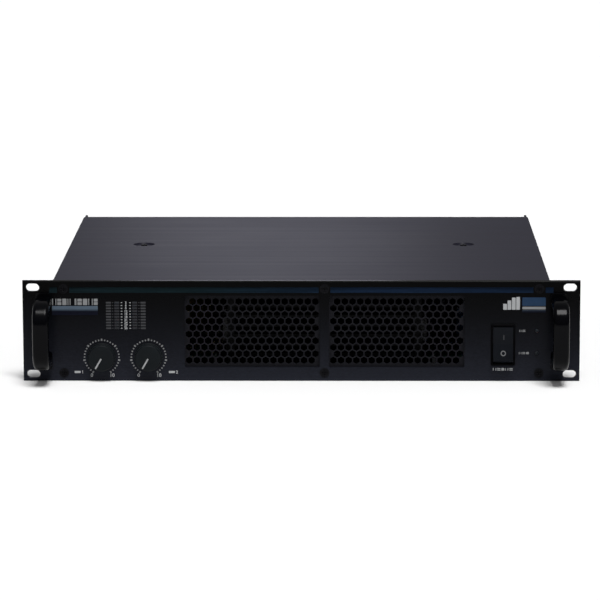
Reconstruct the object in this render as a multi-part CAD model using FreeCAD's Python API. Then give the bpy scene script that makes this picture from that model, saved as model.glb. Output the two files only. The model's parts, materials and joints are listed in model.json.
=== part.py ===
import FreeCAD, Part
import math
import os

# A two-unit rack power amplifier in millimetres: X to the right seen from the front, Y to the rear, Z up.
# The origin is at the middle of the overall footprint, on the surface that the chassis stands on.

V = FreeCAD.Vector
RIGHT = (1, 0, 0)
BACK = (0, 1, 0)
UP = (0, 0, 1)

# Overall sizes
PANEL_W = 482.6
PANEL_H = 88.1
PANEL_T = 4.0
CHASSIS_W = 431.0
CHASSIS_D = 360.0
HANDLE_REACH = 40.0
REAR_REACH = 18.0
SHEET = 1.5
COVER_T = 1.2
COVER_TOP = 88.0

# Planes
RACK_Y = HANDLE_REACH + PANEL_T - (HANDLE_REACH + PANEL_T + CHASSIS_D + REAR_REACH) / 2
FRONT_Y = RACK_Y - PANEL_T
REAR_Y = RACK_Y + CHASSIS_D
REAR_IN_Y = REAR_Y - SHEET
MID_Z = PANEL_H / 2
COVER_UNDER = COVER_TOP - COVER_T
SIDE_X = CHASSIS_W / 2 - COVER_T
SIDE_IN_X = SIDE_X - SHEET

# Front panel
RACK_HOLE_X = 465.1 / 2
RACK_HOLE_DZ = 76.2 / 2
RACK_SLOT_L = 11.5
RACK_SLOT_W = 7.0
PANEL_SCREW_X = (-206.0, 20.2, 206.0)
PANEL_SCREW_DZ = 37.0
SCREW_SEAT_R = 4.2
SCREW_R = 2.0
HANDLE_SCREW_R = 2.5
GROOVE_Z = (77.5, 82.5)
GROOVE_DEPTH = 1.6
STRIP_SPANS = ((-218.0, -211.2), (-200.8, 15.2), (25.2, 200.8), (211.2, 218.0))
LOWER_BEVEL_Z = 11.9
LOWER_BEVEL = 0.5

# Grilles
GRILLE_SPANS = ((-101.1, 16.0), (24.0, 141.4))
GRILLE_Z = (11.8, 75.1)
GRILLE_T = 1.0
GRILLE_LAP_X = 3.8
GRILLE_LAP_Z = 1.5
MESH_PITCH = 6.65
MESH_FLATS = 5.5

# Handles
HANDLE_X = 223.0
HANDLE_W = 14.0
HANDLE_BAR = 9.0
HANDLE_H = 61.0
HANDLE_BEND = 20.0
HANDLE_FOOT = 3.5

# Level controls
KNOB_X = (-173.2, -132.5)
KNOB_Z = 20.9
KNOB_R = 12.2
KNOB_H = 6.6
KNOB_GAP = 0.6
KNOB_FRONT_T = 1.4
KNOB_HOLLOW = 2.8
POINTER_W = 1.6
SHAFT_R = 3.0
BUSHING_R = 3.5
RUNNING = 0.05
BOARD_GAP = 12.0
BOARD_T = 1.6
POINTER_ANGLE = 210.0

# Level meter and status lights
METER_X = -151.9
METER_COLUMN_DX = 7.75
METER_ROWS = 10
METER_Z0 = 46.4
METER_PITCH = 2.5
LED_W = 4.2
LED_H = 1.6
STATUS_X = 204.0
STATUS_Z = (44.2, 24.7)
STATUS_R = 1.5

# Power switch
SWITCH_X = 174.8
SWITCH_Z = 32.05
SWITCH_W = 21.0
SWITCH_H = 36.7
SWITCH_BODY_W = 20.0
SWITCH_CAVITY_W = 17.6
ROCKER_W = 17.2
ROCKER_R = 16.2
ROCKER_TILT = 10.0
SWITCH_PIVOT_Y = FRONT_Y + 3.0

# Rear layout
FAN_X = (-22.0, 62.0)
FAN_SIZE = 80.0
FAN_DEPTH = 25.0
FAN_BORE_R = 38.0
FAN_HOLE_D = 35.75
POST_X = (-105.0, -86.0)
POST_Z = (30.0, 58.0)
INPUT_X = (-184.0, -152.0)
INPUT_Z = 58.0
JACK_Z = 20.5
JACK_BORE_R = 3.25
JACK_BORE_L = 26.0
SPEAKER_X = 125.0
SPEAKER_Z = (24.5, 62.5)
INLET_X = 172.0
INLET_Z = 26.0
BREAKER_X = 172.0
BREAKER_Z = 64.0
MODE_X = -127.0
MODE_Z = 50.0
EAR_HOLE_DZ = 38.1 / 2
EAR_HOLE_R = 3.25
EAR_TOP = 87.5
EAR_LOW = 8.0
EAR_T = 2.0
EAR_FOOT = 14.0
REAR_SIDE_SCREW_Y = REAR_Y - 8.0
REAR_SIDE_SCREW_Z = (20.0, 60.0)

# Interior
BOARD_Z = 10.0
COVER_SCREW_X = 147.0
COVER_SCREW_Y = RACK_Y + 194.0
DIMPLE_R = 10.0
DIMPLE_DEPTH = 1.6
SIDE_SCREW_Z = 80.5
SIDE_SCREW_Y = (RACK_Y + 40.0, RACK_Y + 180.0, RACK_Y + 320.0)
SINK_SPANS = ((-65.0, 17.0), (105.0, 23.0))
SINK_Y = (RACK_Y + 30.0, RACK_Y + 300.0)
SINK_PLATE = 6.0
AMP_BOARDS = ((-175.0, -71.5), (111.5, 208.0))
AMP_BOARD_Y = (RACK_Y + 50.0, RACK_Y + 183.0)
SUPPLY_X = (113.0, 208.0)
SUPPLY_Y = (RACK_Y + 202.0, RACK_Y + 318.0)
TOROID_AT = (-142.0, RACK_Y + 262.0)
TOROID_R = 56.0
TOROID_HOLE_R = 18.0
TOROID_H = 48.0


# Basic shapes

def block(x0, x1, y0, y1, z0, z1):
    return Part.makeBox(x1 - x0, y1 - y0, z1 - z0, V(x0, y0, z0))


def rod(radius, length, start, axis):
    return Part.makeCylinder(radius, length, V(*start), V(*axis))


def fuse(shapes):
    return shapes[0].multiFuse(shapes[1:]).removeSplitter() if len(shapes) > 1 else shapes[0]


def group(shapes):
    return Part.makeCompound(shapes)


def edges_along(shape, axis):
    """The straight edges of shape that run parallel to axis."""
    found = []
    for edge in shape.Edges:
        if isinstance(edge.Curve, Part.Line) and edge.Curve.Direction.cross(V(*axis)).Length < 1e-6:
            found.append(edge)
    return found


def slab(x0, x1, z0, z1, y0, y1, radius=0.0):
    """An upright plate with rounded corners, from y0 to y1."""
    plate = block(x0, x1, y0, y1, z0, z1)
    return plate.makeFillet(radius, edges_along(plate, BACK)) if radius else plate


def obround(x, z, length, width, y0, y1):
    """A slot along X with round ends, cut from y0 to y1."""
    r = width / 2
    half = length / 2 - r
    middle = block(x - half, x + half, y0, y1, z - r, z + r)
    ends = [rod(r, y1 - y0, (x + s * half, y0, z), BACK) for s in (-1, 1)]
    return fuse([middle] + ends)


def polygon_prism(points, sweep):
    """A prism over a closed outline of points, swept by a vector."""
    outline = Part.makePolygon([V(*p) for p in points] + [V(*points[0])])
    return Part.Face(outline).extrude(V(*sweep))


def hexagon(x, y, z, flats, turn=0.0):
    """A closed six-sided outline facing along Y."""
    r = flats / math.sqrt(3)
    corners = []
    for i in range(7):
        a = math.radians(60 * i + turn)
        corners.append(V(x + r * math.cos(a), y, z + r * math.sin(a)))
    return Part.makePolygon(corners)


def hex_nut(x, z, flats, bore_r, y0, y1):
    """A hexagonal nut with a round bore, from y0 to y1."""
    nut = Part.Face(hexagon(x, y0, z, flats)).extrude(V(0, y1 - y0, 0))
    return nut.cut(rod(bore_r, y1 - y0, (x, y0, z), BACK))


def placed(shape, at, axis):
    """A copy of a shape made along +Z, turned to point along axis and moved to at."""
    copy = shape.copy()
    copy.Placement = FreeCAD.Placement(V(*at), FreeCAD.Rotation(V(0, 0, 1), V(*axis)))
    return copy


def cross_recess(radius, depth, top):
    """The cross-shaped driver recess of a screw whose head ends at height top."""
    arm = block(-radius, radius, -0.45, 0.45, top - depth, top + 1)
    return arm.fuse(arm.rotated(V(0, 0, 0), V(0, 0, 1), 90))


def pan_screw(shank_r, length, head_r, head_h):
    """A pan-head screw along +Z: the head sits on z = 0 and the shank runs below it."""
    head = rod(head_r, head_h, (0, 0, 0), UP)
    top = [e for e in head.Edges if e.BoundBox.ZMin > head_h - 1e-6]
    head = head.makeFillet(head_h * 0.45, top)
    return head.fuse(rod(shank_r, length, (0, 0, -length), UP)).cut(cross_recess(head_r * 0.6, head_h * 0.6, head_h))


def flat_screw(shank_r, length, head_r, head_h):
    """A countersunk screw along +Z: its head is flush with z = 0."""
    head = Part.makeCone(shank_r, head_r, head_h, V(0, 0, -head_h), V(0, 0, 1))
    return head.fuse(rod(shank_r, length, (0, 0, -length), UP)).cut(cross_recess(head_r * 0.6, head_h * 0.5, 0))


# Front of the amplifier

def front_panel():
    outline = [
        (-PANEL_W / 2, RACK_Y, 0),
        (-PANEL_W / 2, FRONT_Y + LOWER_BEVEL, 0),
        (-PANEL_W / 2, FRONT_Y, LOWER_BEVEL_Z),
        (-PANEL_W / 2, FRONT_Y, PANEL_H - 0.8),
        (-PANEL_W / 2, FRONT_Y + 0.8, PANEL_H),
        (-PANEL_W / 2, RACK_Y, PANEL_H),
    ]
    panel = polygon_prism(outline, (PANEL_W, 0, 0))
    return panel.cut(group(panel_openings() + panel_screw_seats() + panel_recesses()))


def panel_openings():
    """Everything that goes right through the panel."""
    a, b = FRONT_Y - 1, RACK_Y + 1
    cuts = []
    for sx in (-1, 1):
        for sz in (-1, 1):
            cuts.append(obround(sx * RACK_HOLE_X, MID_Z + sz * RACK_HOLE_DZ, RACK_SLOT_L, RACK_SLOT_W, a, b))
    for x0, x1 in GRILLE_SPANS:
        cuts.append(slab(x0, x1, GRILLE_Z[0], GRILLE_Z[1], a, b, 1.5))
    for x in KNOB_X:
        cuts.append(rod(BUSHING_R, b - a, (x, a, KNOB_Z), BACK))
    for x, z in meter_places():
        cuts.append(block(x - LED_W / 2, x + LED_W / 2, a, b, z - LED_H / 2, z + LED_H / 2))
    for z in STATUS_Z:
        cuts.append(rod(STATUS_R, b - a, (STATUS_X, a, z), BACK))
    half_w, half_h = SWITCH_BODY_W / 2, SWITCH_H / 2 - 1.0
    cuts.append(block(SWITCH_X - half_w, SWITCH_X + half_w, a, b, SWITCH_Z - half_h, SWITCH_Z + half_h))
    return cuts


def panel_screw_seats():
    """Countersunk holes: from the front for the chassis, from behind for the handles."""
    cuts = []
    for x, z in panel_screw_places():
        cuts.append(Part.makeCone(SCREW_SEAT_R, SCREW_R, 2.2, V(x, FRONT_Y, z), V(0, 1, 0)))
        cuts.append(rod(SCREW_SEAT_R, LOWER_BEVEL, (x, FRONT_Y - LOWER_BEVEL, z), BACK))
        cuts.append(rod(SCREW_R, PANEL_T, (x, FRONT_Y, z), BACK))
    for x, z in handle_screw_places():
        cuts.append(Part.makeCone(5.0, HANDLE_SCREW_R, 2.5, V(x, RACK_Y, z), V(0, -1, 0)))
        cuts.append(rod(HANDLE_SCREW_R, PANEL_T, (x, FRONT_Y, z), BACK))
    return cuts


def panel_recesses():
    """Pockets for the grille sheets behind, and for the accent strips in front."""
    cuts = []
    for x0, x1 in GRILLE_SPANS:
        low, high = GRILLE_Z[0] - GRILLE_LAP_Z, GRILLE_Z[1] + GRILLE_LAP_Z
        cuts.append(block(x0 - GRILLE_LAP_X, x1 + GRILLE_LAP_X, RACK_Y - GRILLE_T, RACK_Y + 1, low, high))
    for x0, x1 in STRIP_SPANS:
        cuts.append(block(x0, x1, FRONT_Y - 1, FRONT_Y + GROOVE_DEPTH, *GROOVE_Z))
    return cuts


def panel_screw_places():
    return [(x, MID_Z + s * PANEL_SCREW_DZ) for x in PANEL_SCREW_X for s in (-1, 1)]


def handle_screw_places():
    dz = (HANDLE_H - HANDLE_BAR) / 2
    return [(sx * HANDLE_X, MID_Z + sz * dz) for sx in (-1, 1) for sz in (-1, 1)]


def meter_places():
    places = []
    for side in (-1, 1):
        for row in range(METER_ROWS):
            places.append((METER_X + side * METER_COLUMN_DX, METER_Z0 + row * METER_PITCH))
    return places


def accent_strips():
    """Bright strips let into the panel, each with a face that leans back towards its top edge."""
    low, high = GROOVE_Z
    strips = []
    for x0, x1 in STRIP_SPANS:
        outline = [
            (x0, FRONT_Y + GROOVE_DEPTH, low),
            (x0, FRONT_Y + 0.2, low),
            (x0, FRONT_Y + 1.3, high),
            (x0, FRONT_Y + GROOVE_DEPTH, high),
        ]
        strips.append(polygon_prism(outline, (x1 - x0, 0, 0)))
    return group(strips)


def grille(span):
    """A sheet of hexagonal perforations that lies in the pocket behind the panel's opening."""
    x0, x1 = span
    z0, z1 = GRILLE_Z
    y = RACK_Y - GRILLE_T
    lap_x, lap_z = GRILLE_LAP_X, GRILLE_LAP_Z
    corners = [
        (x0 - lap_x, z0 - lap_z),
        (x1 + lap_x, z0 - lap_z),
        (x1 + lap_x, z1 + lap_z),
        (x0 - lap_x, z1 + lap_z),
        (x0 - lap_x, z0 - lap_z),
    ]
    outer = Part.makePolygon([V(x, y, z) for x, z in corners])
    row_pitch = MESH_PITCH * math.sqrt(3) / 2
    rows = int((z1 - z0) / row_pitch)
    columns = int((x1 - x0) / MESH_PITCH)
    first_z = (z0 + z1 - (rows - 1) * row_pitch) / 2
    first_x = (x0 + x1 - (columns - 0.5) * MESH_PITCH) / 2
    holes = []
    for row in range(rows):
        for column in range(columns):
            x = first_x + (column + 0.5 * (row % 2)) * MESH_PITCH
            holes.append(hexagon(x, y, first_z + row * row_pitch, MESH_FLATS, 30))
    sheet = Part.makeFace(Part.makeCompound([outer] + holes), "Part::FaceMakerBullseye")
    return sheet.extrude(V(0, GRILLE_T, 0)).Solids[0]


def handle(side):
    """A U-shaped handle with rounded bends and a thin foot under each leg."""
    x0 = side * HANDLE_X - HANDLE_W / 2
    top, low = MID_Z + HANDLE_H / 2, MID_Z - HANDLE_H / 2
    outer = block(x0, x0 + HANDLE_W, FRONT_Y - HANDLE_REACH, FRONT_Y, low, top)
    outer = outer.makeFillet(HANDLE_BEND, [e for e in edges_along(outer, RIGHT) if e.BoundBox.YMax < FRONT_Y - 1])
    inner_front = FRONT_Y - HANDLE_REACH + HANDLE_BAR
    inner = block(x0 - 1, x0 + HANDLE_W + 1, inner_front, FRONT_Y + 1, low + HANDLE_BAR, top - HANDLE_BAR)
    inner_bend = HANDLE_BEND - HANDLE_BAR
    inner = inner.makeFillet(inner_bend, [e for e in edges_along(inner, RIGHT) if e.BoundBox.YMax < FRONT_Y - 1])
    bar = outer.cut(inner)
    rims = [e for e in bar.Edges if not rests_on(e, FRONT_Y) and not runs_across(e)]
    bar = bar.makeFillet(3.2, rims)
    for sz in (-1, 1):
        z = MID_Z + sz * (HANDLE_H - HANDLE_BAR) / 2
        foot = slab(x0, x0 + HANDLE_W, z - HANDLE_BAR / 2 - HANDLE_FOOT, z + HANDLE_BAR / 2 + HANDLE_FOOT,
                    FRONT_Y - 2.0, FRONT_Y, 3.0)
        bar = bar.fuse(foot)
    for x, z in handle_screw_places():
        bar = bar.cut(rod(HANDLE_SCREW_R, 14.0, (x, FRONT_Y - 14.0, z), BACK))
    return bar


def rests_on(edge, y):
    return edge.BoundBox.YMin > y - 1e-6


def runs_across(edge):
    return edge.BoundBox.XLength > 1e-6


def handle_screws():
    screw = flat_screw(HANDLE_SCREW_R, 17.0, 5.0, 2.5)
    return group([placed(screw, (x, RACK_Y, z), BACK) for x, z in handle_screw_places()])


def panel_screws():
    screw = flat_screw(SCREW_R, 10.0, SCREW_SEAT_R, 2.2)
    return group([placed(screw, (x, FRONT_Y, z), (0, -1, 0)) for x, z in panel_screw_places()])


# Level controls

def level_knob(x):
    """A fluted knob with a flange, hollow behind so that it clears the pot's nut."""
    back = FRONT_Y - KNOB_GAP
    face = back - KNOB_H
    profile = [
        (0, face),
        (KNOB_R - 1.4, face),
        (KNOB_R - 0.8, face + 0.6),
        (KNOB_R - 0.4, back - 1.4),
        (KNOB_R + 0.3, back - 1.0),
        (KNOB_R + 0.3, back),
        (7.5, back),
        (7.5, back - KNOB_HOLLOW),
        (0, back - KNOB_HOLLOW),
    ]
    outline = Part.makePolygon([V(r, y, 0) for r, y in profile] + [V(0, face, 0)])
    knob = Part.Face(outline).revolve(V(0, 0, 0), V(0, 1, 0), 360)
    flutes = []
    for i in range(24):
        a = 2 * math.pi * i / 24
        at = (1.045 * KNOB_R * math.cos(a), face - 1, 1.045 * KNOB_R * math.sin(a))
        flutes.append(rod(1.3, KNOB_H - 0.6, at, BACK))
    slot = block(-POINTER_W / 2, POINTER_W / 2, face - 1, face + 0.4, -0.5, KNOB_R)
    slot = slot.rotated(V(0, 0, 0), V(0, 1, 0), POINTER_ANGLE)
    knob = knob.cut(group(flutes)).cut(slot).cut(rod(SHAFT_R, KNOB_H, (0, face + KNOB_FRONT_T, 0), BACK))
    return knob.translated(V(x, 0, KNOB_Z))


def level_shaft(x):
    """The pot's shaft, held in the knob's bore and running in the bushing."""
    tip = FRONT_Y - KNOB_GAP - KNOB_H + KNOB_FRONT_T
    return rod(SHAFT_R, RACK_Y + 6.0 - tip, (x, tip, KNOB_Z), BACK)


def level_pots():
    """Two potentiometers: a threaded bushing through the panel and a round case behind it."""
    pots = []
    for x in KNOB_X:
        bushing = rod(BUSHING_R, PANEL_T + 3.0, (x, FRONT_Y - 3.0, KNOB_Z), BACK)
        case = rod(8.5, BOARD_GAP, (x, RACK_Y, KNOB_Z), BACK)
        bore = rod(SHAFT_R + RUNNING, PANEL_T + 3.0 + 6.5, (x, FRONT_Y - 3.0, KNOB_Z), BACK)
        pots.append(bushing.fuse(case).cut(bore))
    return group(pots)


def pot_nuts():
    return group([hex_nut(x, KNOB_Z, 10.0, BUSHING_R, FRONT_Y - 2.2, FRONT_Y) for x in KNOB_X])


def front_board():
    """The circuit board that carries the pots and the meter lights."""
    y0 = RACK_Y + BOARD_GAP
    return block(-198.0, -112.0, y0, y0 + BOARD_T, 8.0, 80.0)


def meter_leds():
    lights = []
    for x, z in meter_places():
        y0, y1 = FRONT_Y - 0.3, RACK_Y + BOARD_GAP
        light = block(x - LED_W / 2, x + LED_W / 2, y0, y1, z - LED_H / 2, z + LED_H / 2)
        rim = [e for e in light.Edges if e.BoundBox.YMax < y0 + 1e-6]
        lights.append(light.makeFillet(0.25, rim))
    return group(lights)


def status_leds():
    lights = []
    for z in STATUS_Z:
        lens = rod(STATUS_R, PANEL_T, (STATUS_X, FRONT_Y, z), BACK)
        dome = Part.makeSphere(STATUS_R, V(STATUS_X, FRONT_Y, z))
        case = rod(2.6, 8.0, (STATUS_X, RACK_Y, z), BACK)
        front_half = block(STATUS_X - 3, STATUS_X + 3, FRONT_Y - 3, FRONT_Y, z - 3, z + 3)
        lights.append(fuse([lens, dome.common(front_half), case]))
    return group(lights)


# Power switch

def power_switch_frame():
    """The switch's bezel and case, with a bearing hole in each cheek for the rocker."""
    half_w, half_h = SWITCH_W / 2, SWITCH_H / 2
    bezel = slab(SWITCH_X - half_w, SWITCH_X + half_w, SWITCH_Z - half_h, SWITCH_Z + half_h,
                 FRONT_Y - 1.8, FRONT_Y, 1.5)
    bezel = bezel.makeChamfer(0.6, [e for e in bezel.Edges if e.BoundBox.YMax < FRONT_Y - 1.7])
    half_w, half_h = SWITCH_BODY_W / 2, half_h - 1.0
    case = block(SWITCH_X - half_w, SWITCH_X + half_w, FRONT_Y - 0.5, RACK_Y + 26.0,
                 SWITCH_Z - half_h, SWITCH_Z + half_h)
    half_w, half_h = SWITCH_CAVITY_W / 2, ROCKER_R + 0.3
    cavity = block(SWITCH_X - half_w, SWITCH_X + half_w, FRONT_Y - 3, RACK_Y + 18.0,
                   SWITCH_Z - half_h, SWITCH_Z + half_h)
    bearing = rod(1.5, SWITCH_BODY_W - 0.2, (SWITCH_X - SWITCH_BODY_W / 2 + 0.1, SWITCH_PIVOT_Y, SWITCH_Z), RIGHT)
    tabs = [block(SWITCH_X + dx - 2.4, SWITCH_X + dx + 2.4, RACK_Y + 26.0, RACK_Y + 34.0, SWITCH_Z + dz - 0.4,
                  SWITCH_Z + dz + 0.4) for dx in (-5, 5) for dz in (-9, 9)]
    return fuse([bezel.fuse(case).cut(cavity).cut(bearing)] + tabs)


def power_switch_rocker():
    """A rocker with two flat faces in a shallow V, resting with its upper half pressed in."""
    x0 = SWITCH_X - ROCKER_W / 2
    pivot = V(SWITCH_X, SWITCH_PIVOT_Y, SWITCH_Z)
    drum = rod(ROCKER_R, ROCKER_W, (x0, SWITCH_PIVOT_Y, SWITCH_Z), RIGHT)
    rise = ROCKER_R * math.tan(math.radians(ROCKER_TILT))
    nose = SWITCH_PIVOT_Y - 4.9
    outline = [
        (x0, nose, SWITCH_Z),
        (x0, nose - rise, SWITCH_Z + ROCKER_R),
        (x0, SWITCH_PIVOT_Y + 5.0, SWITCH_Z + ROCKER_R),
        (x0, SWITCH_PIVOT_Y + 5.0, SWITCH_Z - ROCKER_R),
        (x0, nose - rise, SWITCH_Z - ROCKER_R),
    ]
    paddle = drum.common(polygon_prism(outline, (ROCKER_W, 0, 0)))
    pins = rod(1.45, SWITCH_BODY_W - 0.6, (SWITCH_X - SWITCH_BODY_W / 2 + 0.3, SWITCH_PIVOT_Y, SWITCH_Z), RIGHT)
    return paddle.fuse(pins).rotated(pivot, V(1, 0, 0), -ROCKER_TILT)


# Chassis

def chassis_base():
    """Bottom, two sides and the sub-panel behind the front panel, folded from one sheet."""
    bottom = block(-SIDE_X, SIDE_X, RACK_Y, REAR_Y, 0, SHEET)
    left = block(-SIDE_X, -SIDE_IN_X, RACK_Y, REAR_Y, 0, COVER_UNDER)
    right = block(SIDE_IN_X, SIDE_X, RACK_Y, REAR_Y, 0, COVER_UNDER)
    front = block(-SIDE_X, SIDE_X, RACK_Y, RACK_Y + SHEET, 0, COVER_UNDER)
    a, b = RACK_Y - 1, RACK_Y + SHEET + 1
    cuts = [slab(x0 + 1, x1 - 1, GRILLE_Z[0] + 1, GRILLE_Z[1] - 1, a, b, 1.5) for x0, x1 in GRILLE_SPANS]
    cuts.append(slab(-196.0, -114.0, 9.0, 75.0, a, b, 2.0))
    cuts.append(slab(160.0, 210.0, 12.0, 56.0, a, b, 2.0))
    for x, z in panel_screw_places():
        cuts.append(rod(SCREW_R, b - a, (x, a, z), BACK))
    for y in SIDE_SCREW_Y:
        cuts.append(rod(1.5, CHASSIS_W, (-CHASSIS_W / 2, y, SIDE_SCREW_Z), RIGHT))
    for z in REAR_SIDE_SCREW_Z:
        cuts.append(rod(1.5, CHASSIS_W, (-CHASSIS_W / 2, REAR_SIDE_SCREW_Y, z), RIGHT))
    return fuse([bottom, left, right, front]).cut(group(cuts))


def top_cover():
    """A flat lid with a lip down each side and two round dimples for its middle screws."""
    half = CHASSIS_W / 2
    lid = block(-half, half, RACK_Y, REAR_Y, 74.0, COVER_TOP)
    lid = lid.makeFillet(1.6, [e for e in edges_along(lid, BACK) if e.BoundBox.ZMin > 75])
    lid = lid.cut(block(-SIDE_X, SIDE_X, RACK_Y - 1, REAR_Y + 1, 73.0, COVER_UNDER))
    for sx in (-1, 1):
        x = sx * COVER_SCREW_X
        rim = V(x, COVER_SCREW_Y, COVER_TOP)
        boss = Part.makeCone(DIMPLE_R + COVER_T, DIMPLE_R - 1.0 + COVER_T, DIMPLE_DEPTH + COVER_T, rim, V(0, 0, -1))
        well = Part.makeCone(DIMPLE_R, DIMPLE_R - 1.0, DIMPLE_DEPTH, rim, V(0, 0, -1))
        hole = rod(1.5, 10.0, (x, COVER_SCREW_Y, COVER_TOP - 9.0), UP)
        lid = lid.fuse(boss).cut(well).cut(hole)
    for y in SIDE_SCREW_Y:
        lid = lid.cut(rod(1.5, CHASSIS_W + 2, (-half - 1, y, SIDE_SCREW_Z), RIGHT))
    return lid


def cover_screws():
    """Two in the dimples and three along each side."""
    screw = pan_screw(1.5, 6.0, 2.9, 1.3)
    screws = []
    for sx in (-1, 1):
        screws.append(placed(screw, (sx * COVER_SCREW_X, COVER_SCREW_Y, COVER_TOP - DIMPLE_DEPTH), UP))
        for y in SIDE_SCREW_Y:
            screws.append(placed(screw, (sx * CHASSIS_W / 2, y, SIDE_SCREW_Z), (sx, 0, 0)))
    return group(screws)


def rear_panel():
    """The sheet that closes the back, with a flange along each side."""
    sheet = block(-SIDE_IN_X, SIDE_IN_X, REAR_IN_Y, REAR_Y, SHEET, COVER_UNDER)
    flanges = [
        block(-SIDE_IN_X, -SIDE_IN_X + SHEET, REAR_IN_Y - 14.0, REAR_IN_Y, SHEET + 2, COVER_UNDER - 2),
        block(SIDE_IN_X - SHEET, SIDE_IN_X, REAR_IN_Y - 14.0, REAR_IN_Y, SHEET + 2, COVER_UNDER - 2),
    ]
    return fuse([sheet] + flanges).cut(group(rear_cutouts() + rear_screw_holes()))


def rear_cutouts():
    a, b = REAR_IN_Y - 1, REAR_Y + 1
    cuts = [rod(FAN_BORE_R, b - a, (x, a, MID_Z), BACK) for x in FAN_X]
    cuts += [rod(3.0, b - a, (x, a, z), BACK) for x, z in post_places()]
    for x in INPUT_X:
        cuts.append(rod(12.0, b - a, (x, a, INPUT_Z), BACK))
        cuts.append(block(x - 4.6, x + 4.6, a, b, INPUT_Z + 10.0, INPUT_Z + 15.0))
        cuts.append(rod(4.7, b - a, (x, a, JACK_Z), BACK))
    cuts += [rod(12.0, b - a, (SPEAKER_X, a, z), BACK) for z in SPEAKER_Z]
    cuts.append(block(INLET_X - 14.0, INLET_X + 14.0, a, b, INLET_Z - 10.5, INLET_Z + 10.5))
    cuts.append(rod(5.8, b - a, (BREAKER_X, a, BREAKER_Z), BACK))
    cuts.append(block(MODE_X - 2.8, MODE_X + 2.8, a, b, MODE_Z - 5.6, MODE_Z + 5.6))
    return cuts


def rear_screw_holes():
    cuts = [rod(1.5, 4.0, (x, REAR_IN_Y - 1, z), BACK) for x, z in rear_screw_places()]
    cuts += [rod(1.5, CHASSIS_W, (-CHASSIS_W / 2, REAR_SIDE_SCREW_Y, z), RIGHT) for z in REAR_SIDE_SCREW_Z]
    cuts += [rod(2.0, 4.0, (x, REAR_IN_Y - 1, z), BACK) for x, z in fan_screw_places()]
    return cuts


def fan_screw_places():
    return [(x + sx * FAN_HOLE_D, MID_Z + sz * FAN_HOLE_D) for x in FAN_X for sx in (-1, 1) for sz in (-1, 1)]


def post_places():
    return [(x, z) for z in POST_Z for x in POST_X]


def flange_places():
    """Centres of the square-flanged audio sockets."""
    return [(x, INPUT_Z) for x in INPUT_X] + [(SPEAKER_X, z) for z in SPEAKER_Z]


def rear_screw_places():
    """Screws that face the rear, with the thickness of what each one holds left to rear_screws."""
    return [(x, z) for x, z, lift in rear_screw_seats()]


def rear_screw_seats():
    seats = []
    for x, z in flange_places():
        seats += [(x - 9.5, z + 12.0, 2.0), (x + 9.5, z - 12.0, 2.0)]
    seats += [(INLET_X + s * 20.0, INLET_Z, 2.5) for s in (-1, 1)]
    seats += [(sx * (SIDE_X - 9.0), z, EAR_T) for sx in (-1, 1) for z in (18.0, 70.0)]
    seats += [(MODE_X, MODE_Z + s * 10.0, 0.0) for s in (-1, 1)]
    return seats


def rear_screws():
    """All the small pan-head screws of the rear: sockets, inlet, supports, switch and side flanges."""
    screw = pan_screw(1.5, 6.0, 2.7, 1.5)
    screws = [placed(screw, (x, REAR_Y + lift, z), BACK) for x, z, lift in rear_screw_seats()]
    for sx in (-1, 1):
        screws += [placed(screw, (sx * SIDE_X, REAR_SIDE_SCREW_Y, z), (sx, 0, 0)) for z in REAR_SIDE_SCREW_Z]
    return group(screws)


def rear_support(side):
    """An angle bracket at a rear corner that bolts to a rack's rear rail."""
    x_out = side * SIDE_X
    x_in = side * (SIDE_X - EAR_T)
    x_foot = side * (SIDE_X - EAR_FOOT)
    wing = block(min(x_out, x_in), max(x_out, x_in), REAR_Y, REAR_Y + REAR_REACH, EAR_LOW, EAR_TOP)
    corners = [e for e in edges_along(wing, RIGHT) if e.BoundBox.YMin > REAR_Y + 1]
    wing = wing.makeFillet(4.0, corners)
    foot = block(min(x_out, x_foot), max(x_out, x_foot), REAR_Y, REAR_Y + EAR_T, EAR_LOW, EAR_TOP)
    bracket = wing.fuse(foot)
    for s in (-1, 1):
        at = (side * SIDE_X - 5, REAR_Y + 10.5, MID_Z + s * EAR_HOLE_DZ)
        bracket = bracket.cut(rod(EAR_HOLE_R, 10.0, at, RIGHT))
    for z in (18.0, 70.0):
        bracket = bracket.cut(rod(1.5, 5.0, (side * (SIDE_X - 9.0), REAR_Y - 1, z), BACK))
    return bracket.removeSplitter()


# Power supply and amplifier channels

def transformer():
    """A toroidal transformer lying flat on the chassis bottom."""
    x, y = TOROID_AT
    ring = rod(TOROID_R, TOROID_H, (x, y, SHEET), UP).cut(rod(TOROID_HOLE_R, TOROID_H, (x, y, SHEET), UP))
    return ring.makeFillet(9.0, [e for e in ring.Edges if isinstance(e.Curve, Part.Circle)])


def transformer_clamp():
    """The dished washer, bolt and nut that hold the transformer down."""
    x, y = TOROID_AT
    top = SHEET + TOROID_H
    washer = rod(36.0, 2.0, (x, y, top), UP)
    bolt = rod(4.0, top + 8.0 - SHEET, (x, y, SHEET), UP)
    nut = polygon_prism([(x + 7.5 * math.cos(math.radians(60 * i)), y + 7.5 * math.sin(math.radians(60 * i)),
                          top + 2.0) for i in range(6)], (0, 0, 4.5))
    return fuse([washer, bolt, nut])


def heatsink(span):
    """A comb of horizontal fins on an upright plate, extruded from front to rear."""
    plate_x, tip_x = span
    inward = 1 if tip_x > plate_x else -1
    x1 = plate_x + inward * SINK_PLATE
    y0, y1 = SINK_Y
    pieces = [block(min(plate_x, x1), max(plate_x, x1), y0, y1, SHEET, 84.0)]
    for i in range(9):
        z = 7.0 + 8.6 * i
        root = x1 - inward
        pieces.append(block(min(root, tip_x), max(root, tip_x), y0, y1, z, z + 2.0))
    return fuse(pieces)


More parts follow.
